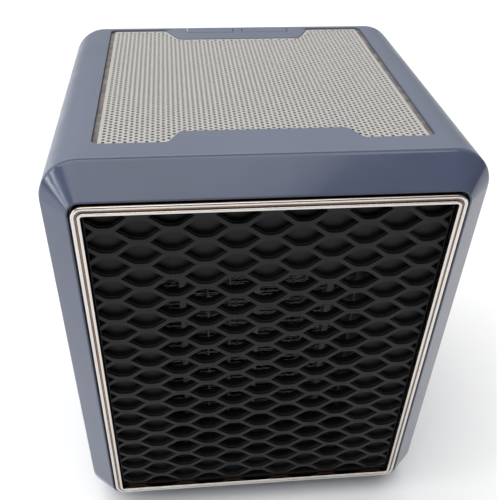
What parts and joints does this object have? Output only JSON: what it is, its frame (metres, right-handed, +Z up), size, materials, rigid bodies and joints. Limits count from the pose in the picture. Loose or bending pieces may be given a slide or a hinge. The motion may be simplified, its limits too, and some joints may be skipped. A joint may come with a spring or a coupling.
{
  "type": "box fan heater",
  "caption": "Cube-shaped box fan heater: housing with a bevelled front, framed honeycomb outlet grille, perforated top window, push buttons, heater, motor and axial fan inside.",
  "frame": {"origin": "on the floor plane under the middle of the housing, at the underside of the rubber feet", "axes": "+Z up, the outlet grille faces -Y, +X is to the right seen from the front"},
  "size_m": [0.233, 0.2322, 0.276],
  "materials": {
    "housing_plastic": "satin moulded plastic, blue-grey",
    "chrome": "bright chrome plating on plastic",
    "black_plastic": "satin black heat-resistant plastic",
    "mesh_metal": "perforated aluminium sheet",
    "rubber": "matte rubber",
    "dark_plastic": "satin dark plastic",
    "sheet_steel": "zinc-plated sheet steel",
    "mica": "pressed mica board",
    "heating_alloy": "oxidised heating ribbon",
    "ceramic_white": "glazed ceramic",
    "bright_steel": "bright steel",
    "lamination_steel": "laminated electrical steel",
    "cast_aluminium": "die-cast",
    "copper_winding": "enamelled copper winding",
    "white_plastic": "natural nylon",
    "bronze": "sintered bronze",
    "circuit_board": "glass-epoxy board",
    "filter_felt": "pale non-woven felt",
    "capacitor_sleeve": "shrink sleeve",
    "lead_insulation": "silicone insulation"
  },
  "bodies": {
    "housing": {"main_shell": "housing_plastic", "front_bezel": "housing_plastic", "chrome_trim": "chrome", "front_grille": "black_plastic", "top_mesh": "mesh_metal", "rear_cover": "housing_plastic", "rubber_feet": "rubber", "cord_gland": "dark_plastic", "outlet_duct": "sheet_steel", "heater_frame": "sheet_steel", "heater_posts": "mica", "heater_ribs": "mica", "heating_wire_low": "heating_alloy", "heating_wire_high": "heating_alloy", "thermal_cutout": "ceramic_white", "thermal_fuse": "ceramic_white", "fan_shroud": "black_plastic", "stator_core": "lamination_steel", "stator_coil": "copper_winding", "coil_bobbin": "white_plastic", "motor_front_bracket": "cast_aluminium", "motor_rear_bracket": "cast_aluminium", "motor_bearings": "bronze", "motor_screws": "bright_steel", "motor_strap": "sheet_steel", "power_button_spring": "bright_steel", "mode_button_spring": "bright_steel", "switch_bracket": "white_plastic", "control_board": "circuit_board", "power_switch": "dark_plastic", "mode_switch": "dark_plastic", "power_relay": "dark_plastic", "capacitor": "capacitor_sleeve", "terminal_block": "white_plastic", "tilt_switch": "white_plastic", "mains_leads": "lead_insulation", "heater_leads": "lead_insulation", "motor_leads": "lead_insulation", "rear_cover_screws": "bright_steel", "shroud_screws": "bright_steel", "strap_screws": "bright_steel", "dust_filter": "filter_felt"},
    "fan_rotor": {"impeller": "dark_plastic", "motor_shaft": "bright_steel", "hub_clip": "bright_steel", "rotor_core": "lamination_steel", "rotor_end_rings": "cast_aluminium"},
    "power_button": {"power_button": "housing_plastic"},
    "mode_button": {"mode_button": "housing_plastic"}
  },
  "joints": [
    {"name": "fan_spin", "type": "hinge", "parent": "housing", "child": "fan_rotor", "pos_m": [0, -0.037, 0.1277], "axis": [0, -1, 0], "continuous": true},
    {"name": "power_press", "type": "slide", "parent": "housing", "child": "power_button", "axis": [0, 0, -1], "range_m": [0, 0.0025], "stiffness_N_per_m": 400, "springref_m": -0.0015, "deforming": ["power_button_spring"]},
    {"name": "mode_press", "type": "slide", "parent": "housing", "child": "mode_button", "axis": [0, 0, -1], "range_m": [0, 0.0025], "stiffness_N_per_m": 400, "springref_m": -0.0015, "deforming": ["mode_button_spring"]}
  ]
}
